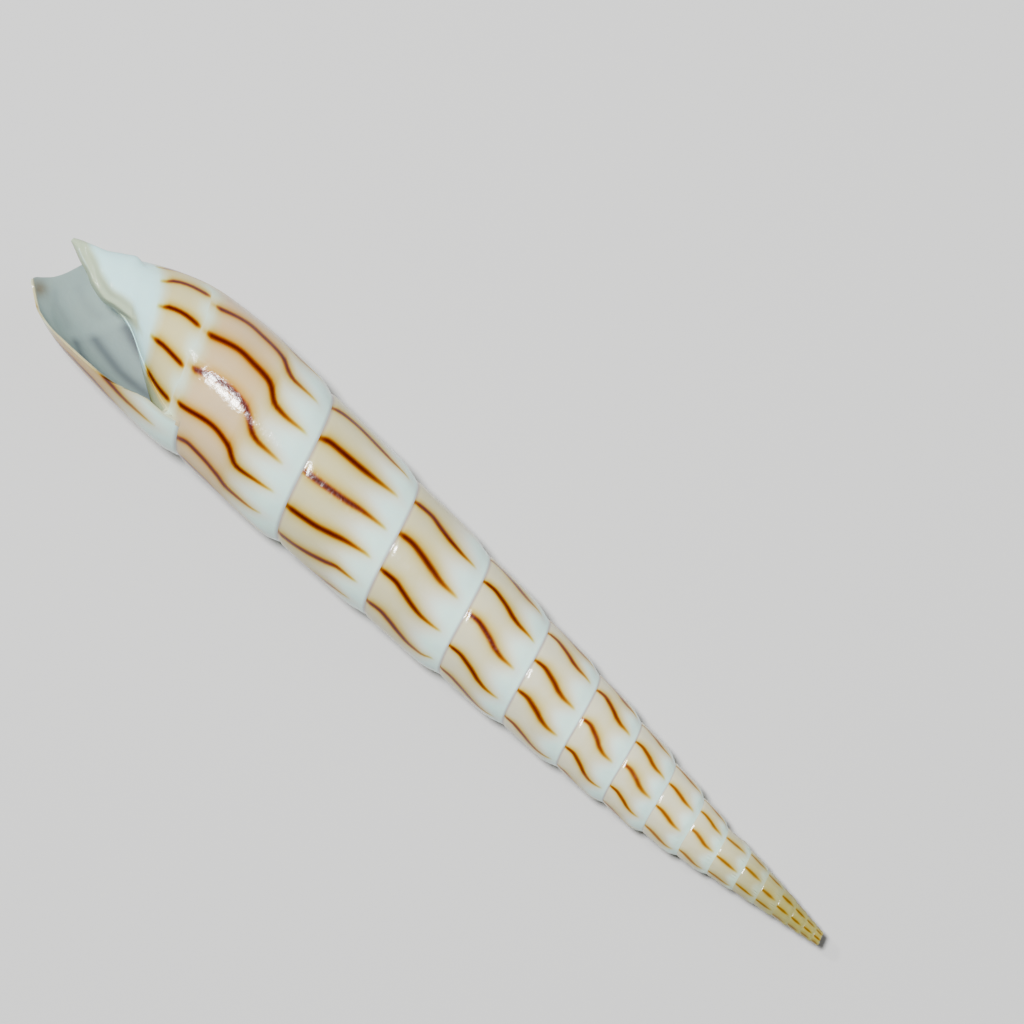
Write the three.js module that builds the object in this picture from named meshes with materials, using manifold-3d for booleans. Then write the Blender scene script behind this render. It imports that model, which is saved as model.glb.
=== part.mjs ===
// Lanced auger shell: a slender right-handed spire that grew as one piece, lying on its back with the
// aperture up. Millimetres, +Z up.
//
// The shell is first laid out along its own axis: x runs from the front end (0) to the tip, y is the
// left side seen from the aperture side, z faces the viewer, and angles turn from z towards y.
// Growth is counted in turns g, which are whole where the whorl crosses the front centre line.
// Across a whorl, v runs from its upper suture (0) to its lower suture (1); on the last whorl it runs
// on over the base. A place with the same g + v lies at the same x, so the sheet closes on itself.

import * as THREE from "three";
import { mergeVertices } from "three/addons/utils/BufferGeometryUtils.js";
import Module from "manifold-3d";

const wasm = await Module();
wasm.setup();

// Spire
const virtualApex = 58.35; // axis point at which the whorls would shrink to nothing
const lastSuture = 40.65; // from there back to the last suture, on the front centre line
const whorlGrowth = 1.182; // scale of each whorl against the one before it
const lipTurn = 0.881; // where the outer lip leaves the suture
const turnsGrown = 16.875; // from the first whorl to the outer lip
const stepWidth = [0.13, 0.085]; // v over which a whorl swells out below its upper suture, old and new
const stepChange = [-2.5, 0]; // turns over which that step changes
const stepPower = 1.6;
const coneShare = 0.5; // the first whorls are partly conical instead of straight-sided
const coneFade = [-10, -6]; // turns over which that ends

// Sideways sway of the spire along x
const leanAt = curveThrough([
  [30, 0], [37, 0], [41.5, -0.04], [44.5, -0.08], [46.7, -0.05], [48.5, 0.07], [50, 0.135],
  [51.3, 0.175], [52.5, 0.225], [53.5, 0.24], [55.35, 0.3],
]);

// Half width of the flat whorl sides against the distance from the virtual apex
const whorlRadius = curveThrough([
  [3.31, 0.345], [4.64, 0.545], [6.24, 0.79], [8.38, 1.1], [11.1, 1.5], [15.5, 2.17], [21.7, 2.79],
  [25.7, 3.12], [30.3, 3.47], [35.9, 3.75], [42.4, 4.11], [50.1, 4.37], [53.3, 4.45], [60, 4.6],
]);

// Half width across a whorl, as a share of its flat side: the last whorl, and all that came before
const lastProfile = curveThrough([
  [0, 1], [0.6, 1], [0.75, 0.985], [0.9, 0.96], [1, 0.935], [1.1, 0.895], [1.2, 0.83], [1.3, 0.745],
  [1.4, 0.635], [1.49, 0.52], [1.58, 0.4], [1.68, 0.25], [1.85, 0.16], [2.3, 0.13],
]);
const earlyProfile = curveThrough([
  [0, 0.99], [0.5, 1], [1, 1.01], [1.1, 0.97], [1.2, 0.9], [1.3, 0.79], [1.4, 0.66], [1.49, 0.53],
  [1.6, 0.33], [1.73, 0.22], [1.89, 0.16], [2.3, 0.13],
]);
const profileChange = [-0.45, 0.15]; // turns over which the early profile gives way to the last

// Outer lip: the turn at which the last whorl ends, from the suture down to the front corner
const lipLine = curveThrough([
  [0, 0.881], [0.27, 0.883], [0.4, 0.868], [0.49, 0.855], [0.6, 0.843], [0.79, 0.832], [0.985, 0.819],
  [1.09, 0.804], [1.19, 0.789], [1.29, 0.755], [1.4, 0.73], [1.68, 0.7],
]);
const lipBlend = 0.3; // turns over which the growth lines swing round to the lip

// Wall
const lipWall = 0.12; // wall thickness at the lip's edge
const notchWall = 0.15; // wall thickness at the front notch
const fullWall = 0.35; // wall thickness deep inside
const wallBuildUp = 0.1; // turns from the lip to the full thickness
const innerGlaze = 0.04; // layer on the whorl face that the aperture shows
const columellaCore = 0.43; // half width of the twisted core inside the last whorl
const columellaRoot = 3.2; // x at which the base closes on the axis, inside the columella
const hollowDepth = 1.13; // turns that the hollow reaches back from the lip
const throatOpens = [0.22, 0.32]; // turns over which the hollow opens out towards the notch

// Front notch: how far forward the back wall reaches, against the distance to the left of the axis
const notchEdge = curveThrough([
  [-2.7, 0], [-2.3, 0.11], [-2, 0.41], [-1.6, 0.78], [-1, 1.1], [-0.5, 1.28], [0, 1.46], [1.15, 2.08],
  [1.8, 2.76], [2.1, 3.4], [2.3, 3.9],
]);

// Columella and fasciole: x, centre to the left, then its reach to the right, left, front and back
const pillar = [
  [10.76, 0, 0.64, 0.64, 0.64, 0.64],
  [9.16, 0, 0.8, 0.8, 0.8, 0.8],
  [7.03, 0, 1, 1.28, 1.9, 0.65],
  [6.23, 0, 0.85, 1.3, 1.95, 0.65],
  [5.43, 0, 0.62, 1.8, 1.64, 0.6],
  [4.36, 0, 0.68, 2.3, 1.42, 0.6],
  [3.98, 0, 0.76, 2.19, 1.35, 0.6],
  [3.56, 0.05, 0.83, 2.2, 1.28, 0.59],
  [2.76, 0.21, 0.8, 1.65, 1, 0.53],
  [1.96, 0.37, 0.59, 0.99, 0.75, 0.48],
  [1.42, 0.48, 0.53, 0.68, 0.53, 0.43],
  [0.62, 0.56, 0.27, 0.3, 0.3, 0.24],
  [0.25, 0.52, 0.08, 0.16, 0.12, 0.1],
];

// Growth scar near the tip: x, angle in degrees, depth, and half sizes along and round the spire
const scar = { x: 47.6, angle: 80, depth: 0.1, along: 0.7, round: 60 };

// Broken tip: a place on the break, and how steeply it slants back towards the left
const tipBreak = { x: 54.87, y: 0.33, slant: 0.3, size: 4 };

// Resting place
const restTilt = 3; // degrees that the tip dips so that the spire lies along its underside
const restFlat = 0.22; // depth of the small flat that it rests on, enough to keep it from rolling

// Facets
const columnsPerTurn = 32;
const whorlRows = [0, 0.05, 0.1, 0.17, 0.3, 0.62, 1];
const baseRows = [1.1, 1.2, 1.3, 1.4, 1.49, 1.58, 1.68];
const pillarSides = 20;
const notchSpan = [-2.7, 2.3];
const notchSteps = 24;
const weldGap = 1e-3;

// Smooth curve through a few points that never overshoots them; straight beyond its ends.
function curveThrough(points) {
  const last = points.length - 1;
  const rise = points.slice(1).map(([x, y], k) => (y - points[k][1]) / (x - points[k][0]));
  const slope = points.map((_, k) => {
    if (k === 0) return rise[0];
    if (k === last) return rise[last - 1];
    const [before, after] = [rise[k - 1], rise[k]];
    return before * after > 0 ? (2 * before * after) / (before + after) : 0;
  });
  return (x) => {
    if (x <= points[0][0]) return points[0][1] + slope[0] * (x - points[0][0]);
    if (x >= points[last][0]) return points[last][1] + slope[last] * (x - points[last][0]);
    const k = points.findIndex(([px]) => px > x) - 1;
    const width = points[k + 1][0] - points[k][0];
    const t = (x - points[k][0]) / width;
    const from = points[k][1] * (1 + 2 * t) + slope[k] * width * t;
    const to = points[k + 1][1] * (3 - 2 * t) - slope[k + 1] * width * (1 - t);
    return from * (1 - t) ** 2 + to * t ** 2;
  };
}

const { lerp, smoothstep } = THREE.MathUtils;

// Place along the axis, the same for equal g + v.
const along = (g, v) => virtualApex - lastSuture * whorlGrowth ** (g + v);

// Distance of the whorl's surface from the axis, before the whorl above it is counted. Towards the tip
// its side takes a share of the cone.
function ownRadius(g, v) {
  const cone = coneShare * (1 - smoothstep(g, ...coneFade));
  const flat = whorlRadius(lastSuture * whorlGrowth ** (g + 0.5 + cone * (v - 0.5)));
  const share = lerp(earlyProfile(v), lastProfile(v), smoothstep(g, ...profileChange));
  return flat * share;
}

// The whorl grows on the base of the one above and swells out to its own width just below the suture.
function surfaceRadius(g, v) {
  const above = ownRadius(g - 1, v + 1);
  const width = lerp(...stepWidth, smoothstep(g, ...stepChange));
  return lerp(above, ownRadius(g, v), 1 - Math.exp(-((v / width) ** stepPower)));
}

// A point of the shell from its place along the axis, distance from it and turn.
function place(x, radius, turn) {
  const angle = turn * 2 * Math.PI;
  return [x, radius * Math.sin(angle) + leanAt(x), radius * Math.cos(angle)];
}

// The growth scar is a shallow groove that runs part of the way round one early whorl.
function scarDepth(x, turn) {
  const angle = (turn - Math.floor(turn)) * 360;
  const off = ((x - scar.x) / scar.along) ** 2 + ((angle - scar.angle) / scar.round) ** 2;
  return scar.depth * Math.exp(-off);
}

// Collects points and triangles and makes a closed body of them.
class Sheet {
  points = [];
  triangles = [];

  add(x, y, z) {
    this.points.push(x, y, z);
    return this.points.length / 3 - 1;
  }

  triangle(a, b, c) {
    this.triangles.push(a, b, c);
  }

  quad(a, b, c, d) {
    this.triangle(a, b, c);
    this.triangle(a, c, d);
  }

  distance(a, b) {
    const at = (k) => new THREE.Vector3().fromArray(this.points, 3 * k);
    return at(a).distanceTo(at(b));
  }

  // Skin over rings of equal length, which turn from z towards y and follow each other down x.
  skin(rings) {
    for (let k = 0; k + 1 < rings.length; k++) {
      rings[k].forEach((a, p) => {
        const next = (p + 1) % rings[k].length;
        this.quad(rings[k][next], rings[k + 1][next], rings[k + 1][p], a);
      });
    }
  }

  solid() {
    return new wasm.Manifold(
      new wasm.Mesh({
        numProp: 3,
        vertProperties: new Float32Array(this.points),
        triVerts: new Uint32Array(this.triangles),
      }),
    );
  }
}

// Turn of each column of the sheet at row v, with the last columns swung round to the lip.
const lastColumn = Math.round(turnsGrown * columnsPerTurn);

function turnAt(column, v) {
  const g = lipTurn - (lastColumn - column) / columnsPerTurn;
  const swing = Math.max(0, (g - lipTurn) / lipBlend + 1);
  return g + (lipLine(v) - lipTurn) * swing;
}

// Body of the shell as if it were full: the helical sheet, its base and a closed mouth.
function fullBody() {
  const sheet = new Sheet();
  const rows = [...whorlRows, ...baseRows];
  const seam = whorlRows.length - 1;
  const lastRow = rows.length - 1;
  const baseFrom = lastColumn - columnsPerTurn;
  const vertex = new Map();

  const at = (column, row) => {
    const joined = row === seam && column <= baseFrom;
    return vertex.get((joined ? column + columnsPerTurn : column) * rows.length + (joined ? 0 : row));
  };
  for (let column = 0; column <= lastColumn; column++) {
    for (let row = 0; row <= lastRow; row++) {
      if (row > seam && column < baseFrom) break;
      if (row === seam && column <= baseFrom) continue;
      const v = rows[row];
      const g = turnAt(column, v);
      const x = along(g, v);
      const radius = surfaceRadius(g, v) - scarDepth(x, g);
      vertex.set(column * rows.length + row, sheet.add(...place(x, radius, g)));
    }
  }
  for (let column = 0; column < lastColumn; column++) {
    const rowsHere = column < baseFrom ? seam : lastRow;
    for (let row = 0; row < rowsHere; row++) {
      sheet.quad(at(column, row), at(column + 1, row), at(column + 1, row + 1), at(column, row + 1));
    }
  }

  // Front pole, deep in the columella, and the first whorl's pole
  const pole = sheet.add(...place(columellaRoot, 0, 0));
  for (let column = baseFrom; column < lastColumn; column++) {
    sheet.triangle(at(column, lastRow), at(column + 1, lastRow), pole);
  }
  const tip = sheet.add(...place(along(turnAt(0, 0), 0), 0, 0));
  for (let column = 0; column < columnsPerTurn; column++) {
    sheet.triangle(at(column + 1, 0), at(column, 0), tip);
  }
  for (let row = 0; row < seam; row++) {
    sheet.triangle(at(0, row), at(0, row + 1), tip);
  }

  // The closed mouth, between the lip and the face of the whorl before it
  const lip = rows.map((_, row) => at(lastColumn, row));
  const face = rows.slice(seam).map((_, k) => at(baseFrom, seam + k));
  let a = 1;
  let b = 1;
  sheet.triangle(lip[1], lip[0], face[1]);
  while (a < lip.length - 1 || b < face.length - 1) {
    const lipNext = a < lip.length - 1 ? sheet.distance(lip[a + 1], face[b]) : Infinity;
    const faceNext = b < face.length - 1 ? sheet.distance(lip[a], face[b + 1]) : Infinity;
    if (lipNext < faceNext) {
      sheet.triangle(lip[a + 1], lip[a], face[b]);
      a++;
    } else {
      sheet.triangle(face[b], face[b + 1], lip[a]);
      b++;
    }
  }
  sheet.triangle(pole, lip[a], face[b]);
  return sheet.solid();
}

// The hollow of the last whorl, open at the lip and at the front notch.
function hollow() {
  const sheet = new Sheet();
  const outerRows = [0.14, 0.2, 0.42, 0.7, 1, 1.1, 1.2, 1.3, 1.4];
  const innerRows = [0.14, 0.2, 0.3, 0.4, 0.49, 0.6, 0.72, 0.9, 1.15];
  const throatRows = [1.49, 1.58, 1.68]; // past these the hollow runs straight out
  const closedFront = 1.42; // where the hollow ends in the columella
  const openFront = -8; // well past the shell's front end
  const first = lastColumn - Math.round(hollowDepth * columnsPerTurn);
  const beyondLip = 3;

  const wall = (column, v, g) => {
    const back = (lastColumn - column) / columnsPerTurn;
    const side = lerp(lipWall, fullWall, smoothstep(back, 0, wallBuildUp));
    return lerp(side, notchWall, smoothstep(v, 1.2, 1.45) * smoothstep(g, ...throatOpens));
  };
  const outer = (column, v) => {
    const g = turnAt(column, v);
    return [along(g, v), surfaceRadius(g, v) - wall(column, v, g), g];
  };
  const inner = (column, v) => {
    const g = turnAt(column, v);
    return [along(g, v), Math.max(columellaCore, ownRadius(g - 1, v + 1) + innerGlaze), g];
  };

  const rings = [];
  for (let column = first; column <= lastColumn + beyondLip; column++) {
    const outside = outerRows.map((v) => outer(column, v));
    const inside = innerRows.map((v) => inner(column, v));
    const open = smoothstep(turnAt(column, closedFront), ...throatOpens);
    const outsideEnd = outer(column, closedFront);
    const insideEnd = inner(column, closedFront);
    const across = (share) => outsideEnd.map((from, k) => lerp(from, insideEnd[k], share));
    const blend = (closed, opened) => closed.map((from, k) => lerp(from, opened[k], open));
    throatRows.forEach((v, k) => {
      outside.push(blend(across(0.1 * k), outer(column, v)));
      inside.push(blend(across(1 - 0.1 * k), [lerp(insideEnd[0], openFront, k / 3), ...insideEnd.slice(1)]));
    });
    const [, throatRadius, throatTurn] = outer(column, throatRows.at(-1));
    outside.push(blend(across(0.4), [openFront, throatRadius, throatTurn]));
    inside.push(blend(across(0.6), [openFront, ...insideEnd.slice(1)]));
    rings.push([...inside, ...outside.reverse()].map((p) => sheet.add(...place(...p))));
  }
  sheet.skin(rings);

  const last = rings[0].length - 1;
  for (let k = 0; k < last - k - 1; k++) {
    const across = (ring) => [ring[k], ring[k + 1], ring[last - k - 1], ring[last - k]];
    sheet.quad(...across(rings[0]).reverse());
    sheet.quad(...across(rings.at(-1)));
  }
  return sheet.solid();
}

// What the front notch takes off the back wall: an upright cut along the notch edge.
function notch() {
  const reach = 7;
  const outline = new THREE.Shape();
  outline.moveTo(-reach, -reach);
  for (let k = 0; k <= notchSteps; k++) {
    const left = lerp(...notchSpan, k / notchSteps);
    outline.lineTo(notchEdge(left), left);
  }
  outline.lineTo(notchEdge(notchSpan[1]), reach);
  outline.lineTo(-reach, reach);
  const cut = new THREE.ExtrudeGeometry(outline, { depth: reach, bevelEnabled: false });
  cut.translate(0, 0, -reach);
  return solidOf(cut);
}

// Clears the axis in front of the columella's root, where the sheet closes to its pole.
function axisClearing() {
  const [radius, from, to] = [0.7, columellaRoot + 0.1, -7];
  const rod = new THREE.CylinderGeometry(radius, radius, from - to, pillarSides);
  rod.rotateZ(Math.PI / 2);
  rod.translate((from + to) / 2, 0, 0);
  return solidOf(rod);
}

// What is broken off beyond the tip, on a slanting plane.
function beyondTip() {
  const { x, y, slant, size } = tipBreak;
  const block = new THREE.BoxGeometry(size, size, size);
  block.translate(size / 2, 0, 0);
  block.rotateZ(Math.atan(slant));
  block.translate(x, y, 0);
  return solidOf(block);
}

// The columella's front end with the white fasciole, flatter behind than towards the front.
function columella() {
  const sheet = new Sheet();
  const rings = pillar.map(([x, centre, right, left, front, back]) =>
    Array.from({ length: pillarSides }, (_, k) => {
      const angle = (k / pillarSides) * 2 * Math.PI;
      const width = Math.sin(angle) > 0 ? left : right;
      const depth = Math.cos(angle) > 0 ? front : back;
      return sheet.add(x, centre + width * Math.sin(angle), depth * Math.cos(angle));
    }),
  );
  sheet.skin(rings);

  const middle = ([x, centre]) => sheet.add(x, centre, 0);
  const [root, tip] = [middle(pillar[0]), middle(pillar.at(-1))];
  for (let k = 0; k < pillarSides; k++) {
    const next = (k + 1) % pillarSides;
    sheet.triangle(rings[0][next], rings[0][k], root);
    sheet.triangle(rings.at(-1)[k], rings.at(-1)[next], tip);
  }
  return sheet.solid();
}

// A solid from a three.js geometry, and a geometry from a solid
function solidOf(geometry) {
  const bare = geometry.clone();
  bare.deleteAttribute("normal");
  bare.deleteAttribute("uv");
  const merged = mergeVertices(bare, weldGap);
  return new wasm.Manifold(
    new wasm.Mesh({
      numProp: 3,
      vertProperties: new Float32Array(merged.attributes.position.array),
      triVerts: new Uint32Array(merged.index.array),
    }),
  );
}

function geometryOf(solid) {
  const { vertProperties, triVerts } = solid.getMesh();
  const geometry = new THREE.BufferGeometry();
  geometry.setAttribute("position", new THREE.BufferAttribute(vertProperties, 3));
  geometry.setIndex(new THREE.BufferAttribute(triVerts, 1));
  geometry.computeVertexNormals();
  return geometry;
}

// Lays the shell on its back, cuts the small flat under it and puts the origin at its bottom centre.
function layDown(solid) {
  const laid = solid.rotate([0, restTilt, 0]);
  const box = laid.boundingBox();
  const floorSize = 80;
  const floor = new THREE.BoxGeometry(floorSize, floorSize, floorSize);
  floor.translate(0, 0, box.min[2] + restFlat - floorSize / 2);
  const centre = (k) => (box.min[k] + box.max[k]) / 2;
  return laid.subtract(solidOf(floor)).translate([-centre(0), -centre(1), -box.min[2] - restFlat]);
}

const broken = fullBody().subtract(beyondTip());
const opened = broken.subtract(hollow()).subtract(notch()).subtract(axisClearing());
const grown = opened.add(columella());

const nacre = new THREE.MeshStandardMaterial({ color: 0xd8cbb2, roughness: 0.25, metalness: 0 });
const shell = new THREE.Mesh(geometryOf(layDown(grown)), nacre);
shell.name = "shell";

const augerShell = new THREE.Group();
augerShell.add(shell);

export default augerShell;
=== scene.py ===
import math

import bmesh
import bpy
import numpy as np
from mathutils import Matrix, Vector


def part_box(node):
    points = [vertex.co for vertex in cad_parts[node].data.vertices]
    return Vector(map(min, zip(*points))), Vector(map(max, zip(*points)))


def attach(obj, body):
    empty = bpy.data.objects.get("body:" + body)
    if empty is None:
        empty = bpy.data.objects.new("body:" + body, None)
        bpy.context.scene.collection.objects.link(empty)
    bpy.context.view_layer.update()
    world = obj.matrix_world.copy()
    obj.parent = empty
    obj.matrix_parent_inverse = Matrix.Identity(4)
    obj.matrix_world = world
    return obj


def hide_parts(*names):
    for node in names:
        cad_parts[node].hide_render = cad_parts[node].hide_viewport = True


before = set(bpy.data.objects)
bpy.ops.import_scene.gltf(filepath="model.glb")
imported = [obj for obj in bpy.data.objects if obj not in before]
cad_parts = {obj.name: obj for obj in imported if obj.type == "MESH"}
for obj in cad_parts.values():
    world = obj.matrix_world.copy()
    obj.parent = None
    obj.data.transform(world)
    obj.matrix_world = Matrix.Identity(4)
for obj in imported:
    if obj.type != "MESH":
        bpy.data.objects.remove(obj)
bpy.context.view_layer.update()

mm = 0.001
print("frame loaded")

# The shell's form in millimetres. x runs along its own axis from the front end (0) to the tip, y is the
# left side seen from the aperture side and z faces the viewer. Angles turn from z towards y. Growth is
# counted in turns g. Across a whorl, v runs from its upper suture (0) to its lower suture (1), and on the
# last whorl over the base.
shellForm = {
    "virtualApex": 58.35,  # axis point at which the whorls would shrink to nothing
    "lastSuture": 40.65,  # from there back to the last suture, on the front centre line
    "growth": 1.182,  # scale of each whorl against the one before it
    "turns": 16.875,  # from the first whorl to the outer lip
    "columnsPerTurn": 96,
    "stepWidth": (0.13, 0.085),  # v over which a whorl swells out, on old and new whorls
    "stepChange": (-2.5, 0),
    "stepPower": 1.6,
    "coneShare": 0.5,  # the first whorls are partly conical instead of straight-sided
    "coneFade": (-10, -6),
    "profileChange": (-0.45, 0.15),  # turns over which the last whorl takes its own profile
    "lean": [  # sideways sway of the spire along x
        (30, 0), (37, 0), (41.5, -0.04), (44.5, -0.08), (46.7, -0.05), (48.5, 0.07), (50, 0.135),
        (51.3, 0.175), (52.5, 0.225), (53.5, 0.24), (55.35, 0.3),
    ],
    "root": 3.2,  # x at which the base closes on the axis, inside the columella
    "tipBreak": {  # place, slant and roughness, then radius of the outer rings and how far on they lie
        "x": 54.87, "y": 0.33, "slant": 0.3, "wave": 0.035,
        "sides": 64, "outerRings": [(2, 4), (2, 0), (1.2, 0)],
    },
    "sutureRows": [0, 0.008, 0.018, 0.032, 0.05, 0.07, 0.094, 0.12, 0.15],
    "sideRows": 28,  # more rows from there to the lower suture, closer towards it
    "sidePower": 1.5,
    "baseRows": 17,
    "baseEnd": 1.68,
    "pointGap": 0.004,  # points closer than this are joined
    "sharpAngle": 40,
    "halfWidth": [  # of the flat whorl sides, against the distance from the virtual apex
        (3.31, 0.345), (4.64, 0.545), (6.24, 0.79), (8.38, 1.1), (11.1, 1.5), (15.5, 2.17), (21.7, 2.79),
        (25.7, 3.12), (30.3, 3.47), (35.9, 3.75), (42.4, 4.11), (50.1, 4.37), (53.3, 4.45), (60, 4.6),
    ],
    "lastProfile": [  # half width across the last whorl, as a share of its flat side
        (0, 1), (0.6, 1), (0.75, 0.985), (0.9, 0.96), (1, 0.935), (1.1, 0.895), (1.2, 0.83), (1.3, 0.745),
        (1.4, 0.635), (1.49, 0.52), (1.58, 0.4), (1.68, 0.25), (1.85, 0.16), (2.3, 0.13),
    ],
    "earlyProfile": [  # the same across all whorls before it
        (0, 0.99), (0.5, 1), (1, 1.01), (1.1, 0.97), (1.2, 0.9), (1.3, 0.79), (1.4, 0.66), (1.49, 0.53),
        (1.6, 0.33), (1.73, 0.22), (1.89, 0.16), (2.3, 0.13),
    ],
}

# The outer lip, the wall behind it and the front notch
mouthForm = {
    "lipTurn": 0.881,  # where the outer lip leaves the suture
    "lipBlend": 0.3,  # turns over which the growth lines swing round to the lip
    "lipLine": [  # turn at which the last whorl ends, down to the front corner
        (0, 0.881), (0.27, 0.883), (0.4, 0.868), (0.49, 0.855), (0.6, 0.843), (0.79, 0.832), (0.985, 0.819),
        (1.09, 0.804), (1.19, 0.789), (1.29, 0.755), (1.4, 0.73), (1.68, 0.7),
    ],
    "lipWall": 0.12,
    "notchWall": 0.15,
    "fullWall": 0.35,
    "wallBuildUp": 0.1,  # turns from the lip to the full thickness
    "glaze": 0.04,  # thin layer over the whorl face that the aperture shows
    "onGlaze": (0.03, 0.25),  # a face on it lies this near to it, and this far under the outside
    "lipNear": 0.012,  # turns from the lip within which a face can belong to either whorl
    "core": 0.43,  # half width of the twisted core inside the last whorl
    "hollowDepth": 1.125,  # turns that the hollow reaches back from the lip
    "throatOpens": (0.22, 0.32),  # turns over which the hollow opens out towards the notch
    "outerRows": [0.14, 0.2, 0.42, 0.7, 1, 1.1, 1.2, 1.3, 1.4],
    "innerRows": [0.14, 0.2, 0.3, 0.4, 0.49, 0.6, 0.72, 0.9, 1.15],
    "rowSteps": 30,
    "throatRows": [1.49, 1.58, 1.68],
    "throatSteps": 9,
    "throatNarrows": (0.1, 0.4),  # how much a closed throat narrows from row to row, and at its end
    "notchWallRows": (1.2, 1.45),  # v over which the wall goes over to the notch's
    "closedFront": 1.42,
    "openFront": -8,
    "beyondLip": 9,  # columns by which the hollow runs out past the lip
    "notchEdge": [  # how far forward the back wall reaches, against the distance to the left of the axis
        (-2.7, 0), (-2.3, 0.11), (-2, 0.41), (-1.6, 0.78), (-1, 1.1), (-0.5, 1.28), (0, 1.46), (1.15, 2.08),
        (1.8, 2.76), (2.1, 3.4), (2.3, 3.9),
    ],
    "notchSteps": 120,
    "notchReach": 7,
    "axisRod": (0.7, 3.3, -7),  # radius and reach of what clears the axis in front of the root
    "rodRings": 12,
    "rodSides": 48,
}

# Columella with the white fasciole: x, centre to the left, then its reach to the right, left, front and
# back
pillarForm = {
    "sections": [
        (10.76, 0, 0.64, 0.64, 0.64, 0.64), (9.16, 0, 0.8, 0.8, 0.8, 0.8), (7.03, 0, 1, 1.28, 1.9, 0.65),
        (6.23, 0, 0.85, 1.3, 1.95, 0.65), (5.43, 0, 0.62, 1.8, 1.64, 0.6), (4.36, 0, 0.68, 2.3, 1.42, 0.6),
        (3.98, 0, 0.76, 2.19, 1.35, 0.6), (3.56, 0.05, 0.83, 2.2, 1.28, 0.59),
        (2.76, 0.21, 0.8, 1.65, 1, 0.53), (1.96, 0.37, 0.59, 0.99, 0.75, 0.48),
        (1.42, 0.48, 0.53, 0.68, 0.53, 0.43),
        (0.62, 0.56, 0.27, 0.3, 0.3, 0.24), (0.25, 0.52, 0.08, 0.16, 0.12, 0.1),
    ],
    "ridge": (0.1, 0.22, 0.12),  # height, distance in from the columella's edge and half width
    "groove": (0.11, 0.55, 0.18),
    "ridgeFrom": (0.4, 1.4),  # x over which they rise, and over which they fade
    "ridgeTo": (5.2, 6.8),
    "steps": 120,
    "sides": 160,
}

# Small relief of the surface, in millimetres
reliefForm = {
    "scar": {"x": 47.6, "angle": 80, "depth": 0.1, "along": 0.7, "round": 60},
    "growthWaves": [(0.006, 19, 0.4), (0.004, 47, 1.9), (0.0025, 113, 4.1)],  # height, waves a turn, start
    "waveSlant": 3,  # how far the waves run on from a whorl's upper to its lower suture, in radians
    "wavesBegin": (0.02, 0.1),  # v over which they rise
    "suturePuckers": (0.018, 40),  # height and number a turn, on the older whorls
    "puckersBegin": (0.02, 0.08),
    "puckersEnd": (0.15, 0.5),
    "puckersFade": (-7, -1.5),  # turns over which they fade out on the newer whorls
    "sutureGroove": (0.012, 0.03),  # depth as a share of the radius, and half width in v
    "lastSutureTurn": (-0.2, -0.12),  # turns over which the groove leaves the lower side of the last whorl
}

# How it lies
restForm = {"tilt": 3, "flat": 0.22, "blockReach": 80, "blockDepth": 20}


def curveThrough(points):
    # Smooth curve through a few points that never overshoots them: cubic pieces whose slopes are the
    # harmonic mean of the rises on both sides, and straight lines beyond its ends.
    x, y = np.array(points, float).T
    rise = np.diff(y) / np.diff(x)
    before, after = rise[:-1], rise[1:]
    total = np.where(before * after > 0, before + after, 1)
    middle = np.where(before * after > 0, 2 * before * after / total, 0)
    slope = np.concatenate([rise[:1], middle, rise[-1:]])

    def value(at):
        at = np.asarray(at, float)
        k = np.clip(np.searchsorted(x, at, side="right") - 1, 0, len(x) - 2)
        width = x[k + 1] - x[k]
        t = np.clip((at - x[k]) / width, 0, 1)
        start = y[k] * (1 + 2 * t) + slope[k] * width * t
        end = y[k + 1] * (3 - 2 * t) - slope[k + 1] * width * (1 - t)
        inside = start * (1 - t) ** 2 + end * t**2
        return inside + slope[0] * np.minimum(at - x[0], 0) + slope[-1] * np.maximum(at - x[-1], 0)

    return value


def smoothStep(value, low, high):
    # 0 up to low and 1 from high on, with an even S between them.
    t = np.clip((np.asarray(value, float) - low) / (high - low), 0, 1)
    return t * t * (3 - 2 * t)


def mix(a, b, share):
    return a + (b - a) * share


halfWidth = curveThrough(shellForm["halfWidth"])
lastProfile = curveThrough(shellForm["lastProfile"])
earlyProfile = curveThrough(shellForm["earlyProfile"])
leanAt = curveThrough(shellForm["lean"])
lipLine = curveThrough(mouthForm["lipLine"])
notchEdge = curveThrough(mouthForm["notchEdge"])
growthLog = math.log(shellForm["growth"])
lastColumn = round(shellForm["turns"] * shellForm["columnsPerTurn"])


def alongAxis(g, v):
    # x = apex - last suture * growth ^ (g + v), so equal g + v lie at the same x.
    return shellForm["virtualApex"] - shellForm["lastSuture"] * shellForm["growth"] ** (g + v)


def ownRadius(g, v):
    # Half width of the flat side at that turn, times the profile across the whorl. Towards the tip the side
    # takes a share of the cone.
    cone = shellForm["coneShare"] * (1 - smoothStep(g, *shellForm["coneFade"]))
    flat = halfWidth(shellForm["lastSuture"] * shellForm["growth"] ** (g + 0.5 + cone * (v - 0.5)))
    return flat * mix(earlyProfile(v), lastProfile(v), smoothStep(g, *shellForm["profileChange"]))


def surfaceRadius(g, v):
    # The base of the whorl above, going over to the whorl's own radius as 1 - e ^ -((v / width) ^ power).
    width = mix(*shellForm["stepWidth"], smoothStep(g, *shellForm["stepChange"]))
    swell = 1 - np.exp(-(np.maximum(v, 0) / width) ** shellForm["stepPower"])
    return mix(ownRadius(g - 1, v + 1), ownRadius(g, v), swell)


def place(x, radius, turn):
    # Point at that x, distance from the axis and turn: (x, r sin + lean, r cos).
    x, radius, angle = np.broadcast_arrays(x, radius, np.asarray(turn) * 2 * np.pi)
    return np.stack([x, radius * np.sin(angle) + leanAt(x), radius * np.cos(angle)], -1)


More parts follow.
